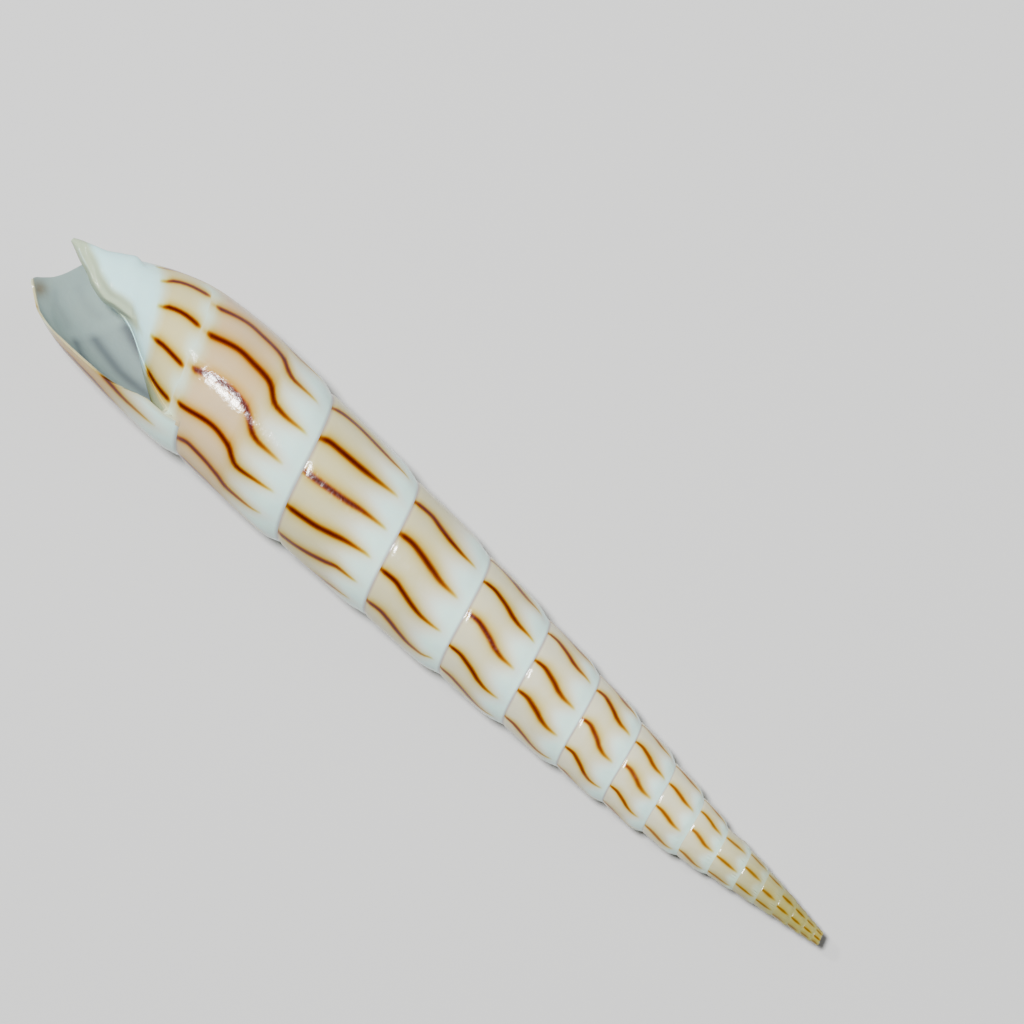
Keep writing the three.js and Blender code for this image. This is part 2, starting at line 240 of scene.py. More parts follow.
def lipAt(v):
    # Turn at which the outer lip ends the last whorl, on the whorl or on its base.
    return lipLine(np.clip(v, 0, shellForm["baseEnd"]))


def turnAt(column, v):
    # Turn of a column at row v: even steps, with the last ones swung round to follow the lip's line.
    g = mouthForm["lipTurn"] - (lastColumn - column) / shellForm["columnsPerTurn"]
    swing = np.maximum(0, (g - mouthForm["lipTurn"]) / mouthForm["lipBlend"] + 1)
    return g + (lipLine(v) - mouthForm["lipTurn"]) * swing


def hasWhorlBelow(g):
    # 1 where another whorl follows below the lower suture, falling smoothly to 0 on the last whorl.
    return 1 - smoothStep(g, *reliefForm["lastSutureTurn"])


def relief(x, g, v):
    # Height of the fine relief: slow waves along the growth, puckers just below the older sutures, and two
    # dips shaped as e ^ -(off centre squared): a fine groove along the sutures, and the scar.
    waves = sum(height * np.sin(2 * np.pi * count * g + start + reliefForm["waveSlant"] * v)
                for height, count, start in reliefForm["growthWaves"])
    waves = waves * smoothStep(v, *reliefForm["wavesBegin"])
    height, count = reliefForm["suturePuckers"]
    older = 1 - smoothStep(g, *reliefForm["puckersFade"])
    below = smoothStep(v, *reliefForm["puckersBegin"]) * (1 - smoothStep(v, *reliefForm["puckersEnd"]))
    puckers = height * older * below * np.sin(2 * np.pi * count * g)
    depth, width = reliefForm["sutureGroove"]
    dips = np.exp(-((v / width) ** 2)) + hasWhorlBelow(g) * np.exp(-(((1 - v) / width) ** 2))
    groove = depth * ownRadius(g, v) * dips
    scar = reliefForm["scar"]
    angle = (g - np.floor(g)) * 360
    off = ((x - scar["x"]) / scar["along"]) ** 2 + ((angle - scar["angle"]) / scar["round"]) ** 2
    return waves + puckers - groove - scar["depth"] * np.exp(-off)


def fan(ring, centre, flip):
    # Triangles from each edge of an open run of points to one centre.
    a, b = ring[:-1], ring[1:]
    tip = np.full(len(a), centre)
    return np.stack([b, a, tip] if flip else [a, b, tip], -1)


def fullBody():
    # The helical sheet, sampled on columns of equal turn and rows across the whorl, with its base, both
    # poles and a closed mouth. A whorl's last row is the first row of the whorl that follows it.
    form = shellForm
    toSuture = 1 - np.arange(1, form["sideRows"] + 1) / form["sideRows"]
    side = 1 - (1 - form["sutureRows"][-1]) * toSuture ** form["sidePower"]
    base = np.linspace(1, form["baseEnd"], form["baseRows"] + 1)[1:]
    rows = np.concatenate([form["sutureRows"], side, base])
    seam = len(form["sutureRows"]) + form["sideRows"] - 1
    perTurn = form["columnsPerTurn"]
    baseFrom = lastColumn - perTurn
    column, v = np.meshgrid(np.arange(lastColumn + 1), rows, indexing="ij")
    g = turnAt(column, v)
    x = alongAxis(g, v)
    points = place(x, surfaceRadius(g, v) + relief(x, g, v), g)

    row = np.arange(len(rows))[None, :]
    kept = np.where(column <= baseFrom, row < seam, True)
    kept[baseFrom, seam + 1:] = True
    index = np.where(kept, np.cumsum(kept).reshape(kept.shape) - 1, -1)
    index[: baseFrom + 1, seam] = index[perTurn: baseFrom + 1 + perTurn, 0]
    points = points[kept]

    def quads(part):
        corners = [part[:-1, :-1], part[1:, :-1], part[1:, 1:], part[:-1, 1:]]
        return np.stack([c.ravel() for c in corners], -1)

    whorls = quads(index[:, : seam + 1])
    front = quads(index[baseFrom:, seam:])
    pole, tip = len(points), len(points) + 1
    tipX = alongAxis(turnAt(0, 0), 0)
    points = np.concatenate([points, place(np.array([form["root"], tipX]), 0, 0)])

    lip, face = index[lastColumn], index[baseFrom, seam:]
    partner = np.ceil(np.arange(len(lip)) * (len(face) - 1) / (len(lip) - 1)).astype(int)
    across = np.stack([lip[2:], lip[1:-1], face[partner[1:-1]]], -1)
    steps = partner[1:] > partner[:-1]
    along = np.stack([face[partner[:-1]], face[partner[1:]], lip[1:]], -1)[steps]
    triangles = np.concatenate([
        fan(index[baseFrom:, -1], pole, False),
        fan(index[: perTurn + 1, 0], tip, True),
        fan(index[0, : seam + 1], tip, False),
        across,
        along,
        [[pole, lip[-1], face[-1]]],
    ])
    return points, [np.concatenate([whorls, front]), triangles]


def loft(rings, closeEnds=True):
    # Skin over rings of equal length that turn from z towards y and follow each other down x, with a fan at
    # each end.
    count, sides = rings.shape[:2]
    index = np.arange(count * sides).reshape(count, sides)
    nextSide = np.roll(index, -1, axis=1)
    skin = np.stack([index[:-1], nextSide[:-1], nextSide[1:], index[1:]], -1).reshape(-1, 4)
    points = rings.reshape(-1, 3)
    if not closeEnds:
        return points, [skin], index
    ends = np.stack([rings[0].mean(0), rings[-1].mean(0)])
    first, last = count * sides, count * sides + 1
    closed = np.concatenate([index, index[:, :1]], 1)
    caps = np.concatenate([fan(closed[0], first, True), fan(closed[-1], last, False)])
    return np.concatenate([points, ends]), [skin, caps]


def hollow():
    # What the animal lived in: each ring has a side along the outer wall and one along the whorl before it,
    # which run together deep inside and open out straight forward at the throat.
    form = mouthForm
    first = lastColumn - round(form["hollowDepth"] * shellForm["columnsPerTurn"])
    column = np.arange(first, lastColumn + form["beyondLip"] + 1)

    def outer(v):
        g = turnAt(column, v)
        back = (lastColumn - column) / shellForm["columnsPerTurn"]
        wall = mix(form["lipWall"], form["fullWall"], smoothStep(back, 0, form["wallBuildUp"]))
        front = smoothStep(v, *form["notchWallRows"]) * smoothStep(g, *form["throatOpens"])
        return np.stack([alongAxis(g, v), surfaceRadius(g, v) - mix(wall, form["notchWall"], front), g], -1)

    def inner(v):
        g = turnAt(column, v)
        radius = np.maximum(form["core"], ownRadius(g - 1, v + 1) + form["glaze"])
        return np.stack([alongAxis(g, v), radius, g], -1)

    row = np.linspace(0, len(form["outerRows"]) - 1, form["rowSteps"])
    places = np.arange(len(form["outerRows"]))
    outside = [outer(v) for v in np.interp(row, places, form["outerRows"])]
    inside = [inner(v) for v in np.interp(row, places, form["innerRows"])]
    opened = smoothStep(turnAt(column, form["closedFront"]), *form["throatOpens"])[:, None]
    outsideEnd, insideEnd = outer(form["closedFront"]), inner(form["closedFront"])

    def forward(at, share):
        return np.stack([mix(at[:, 0], form["openFront"], share), at[:, 1], at[:, 2]], -1)

    rows = len(form["throatRows"])
    narrows, closes = form["throatNarrows"]
    for k in np.linspace(0, rows - 1, form["throatSteps"]):
        v = np.interp(k, np.arange(rows), form["throatRows"])
        outside.append(mix(mix(outsideEnd, insideEnd, narrows * k), outer(v), opened))
        inside.append(mix(mix(outsideEnd, insideEnd, 1 - narrows * k), forward(insideEnd, k / rows), opened))
    throat = outer(form["throatRows"][-1])
    outside.append(mix(mix(outsideEnd, insideEnd, closes), forward(throat, 1), opened))
    inside.append(mix(mix(outsideEnd, insideEnd, 1 - closes), forward(insideEnd, 1), opened))
    sections = np.stack(inside + outside[::-1], 1)
    points, faces, index = loft(place(sections[..., 0], sections[..., 1], sections[..., 2]), closeEnds=False)
    half = index.shape[1] // 2

    def ladder(ring):
        a, b = ring[:half], ring[::-1][:half]
        return np.stack([a[:-1], a[1:], b[1:], b[:-1]], -1)

    return points, faces + [ladder(index[0])[:, ::-1], ladder(index[-1])]


def notch():
    # Upright cut along the notch's edge, as an outline pushed down from the level of the axis.
    reach = mouthForm["notchReach"]
    across = [y for y, x in mouthForm["notchEdge"]]
    y = np.linspace(across[0], across[-1], mouthForm["notchSteps"])
    edge = np.stack([notchEdge(y), y], -1)
    outline = np.concatenate([[(-reach, -reach)], edge, [(edge[-1, 0], reach), (-reach, reach)]])
    count = len(outline)
    points = np.concatenate([np.c_[outline, np.full(count, -reach)], np.c_[outline, np.zeros(count)]])
    index = np.arange(count)
    following = np.roll(index, -1)
    walls = np.stack([index, following, following + count, index + count], -1)
    return points, [walls, (index + count)[None], index[::-1][None]]


def axisRod():
    # Straight rod along the axis, which clears what would be left in the notch.
    radius, start, end = mouthForm["axisRod"]
    sides = mouthForm["rodSides"]
    turn = np.arange(sides) / sides
    rings = [place(np.full(sides, x), radius, turn) for x in np.linspace(start, end, mouthForm["rodRings"])]
    return loft(np.stack(rings))


def beyondTip():
    # What is broken off beyond the tip: rings about the break that narrow to its middle, on a slanting
    # plane with a few low waves.
    form = shellForm["tipBreak"]
    turn = np.arange(form["sides"]) / form["sides"] * 2 * np.pi
    rings = []
    for radius, ahead in form["outerRings"] + [(0.1 * k, 0) for k in range(6, 0, -1)]:
        y, z = radius * np.sin(turn), radius * np.cos(turn)
        waves = np.sin(11 * y + 1) * np.cos(13 * z) + 0.6 * np.sin(23 * z + 17 * y)
        x = form["x"] + ahead - form["slant"] * y + form["wave"] * waves
        rings.append(np.stack([x, y + form["y"], z], -1))
    return loft(np.stack(rings))


def pillarSection(x):
    # The columella's centre and its four reaches at x, each a smooth curve along x.
    table = np.array(pillarForm["sections"])[::-1]
    return [curveThrough(np.c_[table[:, 0], table[:, k]])(x) for k in range(1, 6)]


def columella():
    # Sections of four quarter ellipses, with the centre and reaches of pillarSection. The ridge along the
    # edge and the groove beside it are height * e ^ -((distance / width) ^ 2).
    x = np.linspace(pillarForm["sections"][0][0], pillarForm["sections"][-1][0], pillarForm["steps"])[:, None]
    centre, right, left, front, back = pillarSection(x)
    angle = np.arange(pillarForm["sides"])[None, :] / pillarForm["sides"] * 2 * np.pi
    y = centre + np.where(np.sin(angle) > 0, left, right) * np.sin(angle)
    z = np.where(np.cos(angle) > 0, front, back) * np.cos(angle)
    form = pillarForm
    along = smoothStep(x, *form["ridgeFrom"]) * (1 - smoothStep(x, *form["ridgeTo"]))
    along = along * smoothStep(np.cos(angle), 0, 0.5)
    for sign, (height, inward, width) in ((1, form["ridge"]), (-1, form["groove"])):
        z = z + sign * height * along * np.exp(-(((y - centre + right - inward) / width) ** 2))
    return loft(np.stack([x + 0 * angle, y, z], -1))


def inScene(name, content):
    # New object of that name for a mesh, lamp or camera, linked into the scene.
    made = bpy.data.objects.new(name, content)
    bpy.context.scene.collection.objects.link(made)
    return made


def meshFrom(name, points, faces):
    # Puts arrays of points and of faces with any number of corners into a mesh.
    mesh = bpy.data.meshes.new(name)
    corners = np.concatenate([part.ravel() for part in faces]).astype(np.int32)
    sizes = np.concatenate([np.full(len(part), part.shape[1]) for part in faces])
    starts = np.concatenate([[0], np.cumsum(sizes)[:-1]]).astype(np.int32)
    mesh.vertices.add(len(points))
    mesh.vertices.foreach_set("co", np.asarray(points, np.float32).ravel())
    mesh.loops.add(len(corners))
    mesh.loops.foreach_set("vertex_index", corners)
    mesh.polygons.add(len(sizes))
    mesh.polygons.foreach_set("loop_start", starts)
    mesh.update(calc_edges=True)
    return inScene(name, mesh)


def combine(piece, points, faces, operation):
    # Cuts a closed body off the piece, or joins one to it.
    other = meshFrom("cutter", points, faces)
    change = piece.modifiers.new("cut", "BOOLEAN")
    change.operation, change.solver, change.object = operation, "MANIFOLD", other
    made = bpy.data.meshes.new_from_object(piece.evaluated_get(bpy.context.evaluated_depsgraph_get()))
    piece.modifiers.clear()
    piece.data = made
    bpy.data.objects.remove(other)


def pointsOf(mesh):
    flat = np.empty(len(mesh.vertices) * 3, np.float32)
    mesh.vertices.foreach_get("co", flat)
    return flat.reshape(-1, 3).astype(float)


tilt = math.radians(restForm["tilt"])
layDown = np.array([[math.cos(tilt), 0, math.sin(tilt)], [0, 1, 0], [-math.sin(tilt), 0, math.cos(tilt)]])


def floorBox(points):
    # Block under the shell that takes off its small resting flat, turned back into the shell's own frame.
    low = (points @ layDown.T)[:, 2].min() + restForm["flat"]
    reach, depth = restForm["blockReach"], restForm["blockDepth"]
    x, y, z = np.meshgrid([-reach, reach], [-reach, reach], [low - depth, low], indexing="ij")
    corners = np.stack([x.ravel(), y.ravel(), z.ravel()], -1) @ layDown
    sides = np.array([[0, 1, 3, 2], [4, 6, 7, 5], [0, 4, 5, 1], [2, 3, 7, 6], [0, 2, 6, 4], [1, 5, 7, 3]])
    return corners, [sides]


def cleaned(piece, gap):
    # Joins points closer than the gap and drops what has no area.
    work = bmesh.new()
    work.from_mesh(piece.data)
    bmesh.ops.remove_doubles(work, verts=work.verts, dist=gap)
    bmesh.ops.dissolve_degenerate(work, edges=work.edges, dist=gap)
    work.to_mesh(piece.data)
    work.free()


body, bodyFaces = fullBody()
shell = meshFrom("lancedAugerShell", body, bodyFaces)
print("helical sheet", len(body), "points")
combine(shell, *beyondTip(), "DIFFERENCE")
combine(shell, *hollow(), "DIFFERENCE")
combine(shell, *notch(), "DIFFERENCE")
combine(shell, *axisRod(), "DIFFERENCE")
combine(shell, *columella(), "UNION")
combine(shell, *floorBox(pointsOf(shell.data)), "DIFFERENCE")
cleaned(shell, shellForm["pointGap"])
print("opened and joined", len(shell.data.vertices), "points,", len(shell.data.polygons), "faces")

# Lays the shell where its node is: tilted, centred over the node's box and standing on its floor
nodeLow, nodeHigh = (np.array(corner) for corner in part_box("shell"))
local = pointsOf(shell.data)
laid = local @ layDown.T * mm
shift = (nodeLow + nodeHigh) / 2 - (laid.min(0) + laid.max(0)) / 2
shift[2] = nodeLow[2] - laid[:, 2].min()
shell.data.vertices.foreach_set("co", (laid + shift).astype(np.float32).ravel())
shell.data.update()
shell.data.polygons.foreach_set("use_smooth", np.ones(len(shell.data.polygons), bool))
shell.data.set_sharp_from_angle(angle=math.radians(shellForm["sharpAngle"]))

# The brown lines run from below a suture to the next one. The last three whorls have a row of lines each,
# as places of v and degrees round the shell. The ones before are given by how far a line swings and by the
# angles of its crests.
lineForm = {
    "rows": {
        0: [
            [(0.12, -83), (0.4, -86), (0.55, -82), (0.75, -77), (0.9, -77), (1.05, -84)],
            [(0.12, -52.5), (0.3, -57.5), (0.5, -59), (0.6, -55), (0.75, -52), (0.88, -51.5), (1.05, -61)],
            [(0.15, -29.5), (0.3, -32), (0.48, -34.5), (0.53, -32), (0.6, -26), (0.75, -23), (1.05, -30)],
            [(0.1, -8), (0.4, -8.5), (0.48, -6.5), (0.55, 0),
             (0.62, 4.5), (0.75, 6.5), (0.9, 4.5), (1.05, -1)],
            [(0.13, 20.5), (0.3, 19), (0.42, 20), (0.5, 28), (0.55, 31.3), (0.7, 33), (0.8, 34), (1.05, 28)],
            [(0.12, 47.5), (0.36, 47), (0.43, 49.5), (0.5, 57),
             (0.56, 59.5), (0.7, 61.5), (0.8, 63), (1.05, 55.5)],
            [(0.12, 78), (0.35, 77), (0.5, 84), (0.62, 93), (0.78, 99), (0.9, 97), (1.05, 91)],
            [(0.12, 120), (0.25, 117.5), (0.35, 119), (0.45, 124), (0.52, 131), (0.76, 138.5), (1.08, 126)],
            [(0.15, 151), (0.3, 149.5), (0.4, 151.5), (0.5, 160), (0.58, 165.5), (0.75, 169.5), (1, 164)],
            [(0.15, 182), (0.3, 181), (0.4, 184), (0.5, 191), (0.56, 196), (0.8, 199.5), (1.08, 194)],
            [(0.17, 208), (0.3, 208), (0.4, 214), (0.5, 223.5),
             (0.62, 226), (0.78, 228.5), (0.9, 227), (1.08, 224)],
            [(0.1, 240), (0.25, 238), (0.35, 241), (0.43, 249),
             (0.52, 254), (0.7, 257), (0.85, 256.5), (1.1, 244)],
            [(0.12, 270), (0.35, 269), (0.5, 279), (0.7, 287), (0.85, 286), (1.05, 279)],
            [(0.12, 301), (0.4, 300.5), (0.55, 303), (0.65, 305.5), (0.8, 309), (1.05, 305)],
            [(0.12, 333), (0.4, 333), (0.8, 340), (1.05, 336)],
        ],
        -1: [
            [(0.15, -69), (0.3, -71), (0.4, -74), (0.5, -78), (0.7, -85), (1, -90)],
            [(0.17, -43), (0.35, -44), (0.5, -49.5), (0.7, -57), (0.85, -61.5), (1, -64)],
            [(0.2, -16.5), (0.4, -20), (0.55, -24), (0.7, -28), (0.85, -30.5), (1, -32.5)],
            [(0.13, 9.5), (0.4, 7), (0.55, 4.5), (0.7, 2.5), (0.85, 0.5), (1, -1)],
            [(0.18, 37), (0.4, 34.3), (0.6, 32.5), (0.8, 31.3), (0.9, 30.5), (1, 27)],
            [(0.15, 63.5), (0.3, 63.5), (0.45, 65), (0.7, 67), (0.85, 65.5), (1, 60)],
            [(0.15, 99), (0.4, 98), (0.7, 103), (0.9, 103), (1, 99)],
            [(0.15, 134), (0.38, 131.5), (0.5, 134), (0.65, 139), (0.8, 141.5), (1.02, 133)],
            [(0.13, 160.5), (0.4, 162), (0.485, 161.5), (0.51, 166),
             (0.6, 169.5), (0.75, 171.5), (1.02, 167)],
            [(0.15, 188.5), (0.3, 190.5), (0.46, 191.5), (0.53, 198), (0.65, 201), (0.8, 202), (1.02, 197.5)],
            [(0.15, 225), (0.3, 223.5), (0.4, 220.5), (0.5, 222.5), (0.62, 228), (0.78, 230), (1, 226)],
            [(0.12, 252), (0.4, 249), (0.55, 254), (0.75, 259), (1, 254)],
        ],
        -2: [
            [(0.13, -58), (0.25, -61), (0.4, -61), (0.55, -58.3), (0.7, -54), (0.82, -52), (1.02, -55)],
            [(0.13, -24.5), (0.4, -25.5), (0.55, -23.5), (0.7, -20), (0.82, -17.5), (1, -18.5)],
            [(0.13, 8.5), (0.35, 8.5), (0.55, 11.5), (0.7, 14.5), (0.85, 16.5), (1.02, 15)],
            [(0.13, 43), (0.3, 42), (0.5, 44), (0.65, 47), (0.8, 50.5), (1.02, 49)],
            [(0.12, 90), (0.4, 89), (0.6, 93), (0.8, 98), (1, 98)],
            [(0.13, 135), (0.3, 132.5), (0.45, 132), (0.6, 135), (0.8, 138.5), (1.02, 140)],
            [(0.15, 168.5), (0.35, 165), (0.5, 166), (0.65, 170), (0.85, 174.5), (1, 173)],
            [(0.2, 201), (0.3, 197.5), (0.4, 196.5), (0.5, 198.5), (0.6, 202.5), (0.68, 207), (1, 206)],
            [(0.13, 227), (0.3, 225.3), (0.5, 225.5), (0.56, 223), (0.6, 215), (0.65, 209), (1, 208)],
            [(0.12, 262), (0.4, 257), (0.55, 251), (0.7, 240), (0.85, 233), (1.02, 230)],
        ],
    },
    "swing": [(0.12, -1), (0.35, -1), (0.5, -0.8), (0.6, -0.5), (0.7, -0.25), (0.85, 0), (1.02, -0.13)],
    "spire": {  # swing in degrees, then the crests
        -3: (10.5, [-62, -29.5, 6.5, 41.5, 77, 106, 134, 171.5, 205, 239, 268]),
        -4: (10.5, [-56.5, -17, 19, 56.5, 85, 114, 157, 193, 228, 258]),
        -5: (15, [-72, -31.5, 8.5, 50, 85, 121, 162.5, 197, 232.5, 260]),
        -6: (10, [-72, -33, 3, 38, 76, 123.5, 169.5, 209, 247]),
        -7: (5.5, [-52, -9, 31, 73, 112, 152, 192, 230, 266]),
        -8: (7, [-51, 1.5, 41, 76, 120, 162, 202, 240, 272]),
        -9: (1, [-57, -8, 43, 88, 130, 172, 212, 252]),
        -10: (1, [-80, -38, 16, 60, 104, 148, 192, 236, 276]),
        -11: (0, [-42, 0, 56, 100, 145, 190, 235, 275]),
        -12: (0, [-60, -12, 33, 80, 128, 175, 220, 262]),
        -13: (0, [-55, -10, 35, 80, 125, 170, 215, 260]),
        -14: (0, [-50, -5, 40, 85, 130, 175, 220, 265]),
        -15: (0, [-50, -5, 40, 85, 130, 175, 220, 265]),
        -16: (0, [80, 130, 175, 220, 265]),
    },
    "baseRow": [  # second row of the last whorl, on its base
        [(1.13, -66), (1.4, -70)],
        [(1.13, -35), (1.25, -38), (1.42, -42)],
        [(1.13, -5), (1.3, -4.5), (1.42, -7.5)],
        [(1.13, 29), (1.27, 31.5), (1.36, 30), (1.42, 25)],
        [(1.13, 64), (1.28, 66.5), (1.35, 65), (1.42, 58)],
        [(1.13, 92), (1.28, 95), (1.42, 88)],
        [(1.14, 129), (1.28, 131), (1.42, 128)],
        [(1.14, 162), (1.2, 168), (1.29, 172.5), (1.35, 171), (1.42, 166)],
        [(1.12, 206), (1.2, 209), (1.28, 210), (1.35, 207), (1.42, 202)],
        [(1.12, 243), (1.2, 240), (1.27, 241), (1.38, 232), (1.43, 227)],
        [(1.13, 272), (1.28, 275), (1.42, 268)],
        [(1.13, 300), (1.28, 303), (1.42, 296)],
        [(1.13, 332), (1.42, 332)],
    ],
    "rowChange": 1.11,  # v between the two rows
    "hook": (-1.46, -1.35, 0.8),  # turns of the two lines that meet and stop short, and where they stop
    "steps": 61,  # even steps of v on which the lines' turns are kept, up to the end given here
    "stepsEnd": 1.5,
    "keptApart": 1e-5,  # least turn between two lines
    "coreWidth": 0.118,  # half width of a line's dark core on the last whorl
    "glowWidth": 0.32,  # half width of the golden glow beside it
    "glowShift": 0.05,  # the glow lies towards the younger side
    "bandGap": 0.2,  # how much further the white band reaches between two lines
    "starts": (0.07, 0.15),  # least and greatest v at which a line starts
    "widths": (0.9, 1.12),  # least and greatest width of a line, against the others
    "rise": (0.08, 0.45),  # v over which a line darkens, from nothing and on to full
    "firstInk": 0.1,
    "endFade": (0.93, 1, 0.6),  # v over which a line fades at the lower suture, and by how much
    "lastEnd": (1.04, 1.09),  # v over which the lines end on the last whorl
    "baseStart": (1.125, 1.17),
    "baseStop": (1.37, 1.42),
    "spireInk": (1, 10, 0.35),  # whorls over which the lines pale towards the tip, and to how much
    "insideInk": (0.12, 0.02, 0.6),  # how much shows inside the mouth: of each row, and on the whorl face
    "insideWiden": 2.4,
    "taper": (0.75, 1.2),  # width at the upper end and from the middle on
    "spireTaper": 0.35,  # how much narrower a line is at its lower end on the older whorls
    "fullRadius": 4.4,  # half width of the shell where the lines have their full width
    "seed": 7,
    "draws": 1000,  # random values, one a line
    "baseDraws": 500,  # from which the ones of the base's row are taken
}


def lineTable(rows):
    # Turn of each line on even steps of v, each a smooth curve through the line's own places.
    v = np.linspace(0, lineForm["stepsEnd"], lineForm["steps"])
    table = []
    for whorl, lines in rows:
        for line in lines:
            ends = np.clip(v, line[0][0], line[-1][0])
            table.append(whorl + curveThrough(line)(ends) / 360)
    table = np.array(table)
    table = table[np.argsort(table[:, len(v) // 2])]
    apart = lineForm["keptApart"] * np.arange(len(table))[:, None]
    return v, np.maximum.accumulate(table + apart, axis=0)


def phaseAt(table, g, v):
    # Counts the lines passed at that turn: a whole number on each line, even steps between two lines, and
    # straight between the steps of v.
    nodes, turns = table
    step = nodes[1] - nodes[0]
    k = np.clip(np.floor(v / step).astype(int), 0, len(nodes) - 2)
    low, high = np.zeros(g.shape), np.zeros(g.shape)
    count = np.arange(turns.shape[0])
    for node in range(len(nodes)):
        here, before = k == node, k + 1 == node
        low[here] = np.interp(g[here], turns[:, node], count)
        high[before] = np.interp(g[before], turns[:, node], count)
    return mix(low, high, np.clip(v / step - k, 0, 1))


def lineFields(g, v, radius, onBase):
    # Distance in millimetres to the nearest line, as sin(pi phase) / (pi slope of the phase), which is
    # smooth from line to line; the same for the glow beside it; and the count of lines passed.
    swing = curveThrough(lineForm["swing"])
    swingAt = [point[0] for point in lineForm["swing"]]
    rows = list(lineForm["rows"].items())
    for whorl, (size, crests) in lineForm["spire"].items():
        rows.append((whorl, [[(at, crest + size * float(swing(at))) for at in swingAt] for crest in crests]))
    first = lineTable(rows)
    second = lineTable([(0, lineForm["baseRow"])])

    def phase(g, v):
        return np.where(onBase, phaseAt(second, g, v), phaseAt(first, g, v))

    here = phase(g, v)
    step, leastSlope = 1e-3, 1e-3
    alongG = (phase(g + step, v) - here) / step
    alongV = (phase(g, v + step) - here) / step
    stretch = (shellForm["virtualApex"] - alongAxis(g, v)) * growthLog
    slope = np.hypot(alongV / stretch, (alongG - alongV) / (2 * np.pi * radius))
    slope = np.maximum(slope, leastSlope)
    core = np.sin(np.pi * here) / (np.pi * slope)
    glow = np.sin(np.pi * (here - lineForm["glowShift"] * slope)) / (np.pi * slope)
    return core, glow, here


# Colours of the shell, as seen on its surface (red, green and blue out of 255)
groundForm = {
    "band": (214, 250, 240),  # opaque white below the sutures
    "pale": (224, 224, 208),  # on to the sides
    "side": (204, 198, 156),
    "pink": (214, 184, 146),  # middle of the last whorl
    "cream": (214, 204, 150),  # towards the base
    "white": (204, 252, 252),  # fasciole
    "callus": (176, 188, 152),  # glossy edge of the columella
    "inside": (152, 172, 168),
    "darkCorner": (122, 108, 84),  # darker patch on the inside of the front corner
    "shade": (104, 102, 108),  # painted shadow, a streak beside the columella
    "lip": (198, 192, 146),  # thin edge of the outer lip
    "seam": (158, 140, 146),  # thin line of painted shade along the suture
    "amber": (152, 147, 86),
    "covers": {"pink": 0.8, "seam": 0.7, "darkCorner": 0.85, "shade": 0.6, "lip": 0.65},  # the rest cover fully
    "callusCovers": (0.9, 0.95),  # at the columella's edge, and on the whorl face in the mouth
    "bandEnds": (0.06, 0.38),
    "paleEnds": (0.15, 0.62),
    "olderPale": (1.5, 4, 0.45),  # whorls over which the sides pale towards the tip, and by how much
    "lastWhorl": (-0.2, -0.1),  # turns over which it starts
    "pinkBegins": (0.4, 0.65),  # v over which the pink rises, and over which it ends
    "pinkEnds": (0.98, 1.1),
    "pinkTurns": (-0.7, 0),
    "creamBegins": (1.02, 1.15),
    "blotch": (0.7, 1.12, 0.06),  # white spots between the two rows of lines: strength, v and half width
    "whiteBegins": (1.37, 1.46),
    "pillarEdge": (1.06, 1.25),  # how far past the columella's reach its colour ends
    "pillarEnds": (7, 9),  # x over which it ends
    "callusEdge": (0.7, 1.2),  # distance from the columella's edge over which the callus ends
    "callusNarrows": (4.8, 6.5, 2.2),  # x over which it narrows, and how many times
    "callusEnds": (7.5, 9),
    "mouthDepth": (0.02, 0.1),  # distance under the outside over which the colours of the inside begin
    "mouthEnds": (20, -0.4),  # x and turn past which nothing is inside the mouth
    "sutureShadeEnds": (0.004, 0.03),
    "sutureShadeFades": (40, 48),  # x
    "lipEnds": (0.003, 0.01),  # turns behind the lip over which its edge colour ends
    "darkCornerAt": (0.7, -2.6, 0.42),  # x, y and half width
    "shadeFrom": (5.4, -1.07, -0.256, 0.26),  # x and y where the streak starts, its slope and half width
    "shadeBegins": (-0.4, 1.2),  # x over which it rises, from its start
    "amberFrom": (44, 53.5),  # x over which the tip turns amber
    "amberSpares": (48, 52, 0.4),  # x over which the bands stop being spared, and by how much they are
}


def linear(colour):
    # Straight light values of a colour: ((c + 0.055) / 1.055) ^ 2.4 above the dark end.
    c = np.array(colour, float) / 255
    return np.where(c < 0.04045, c / 12.92, ((c + 0.055) / 1.055) ** 2.4)


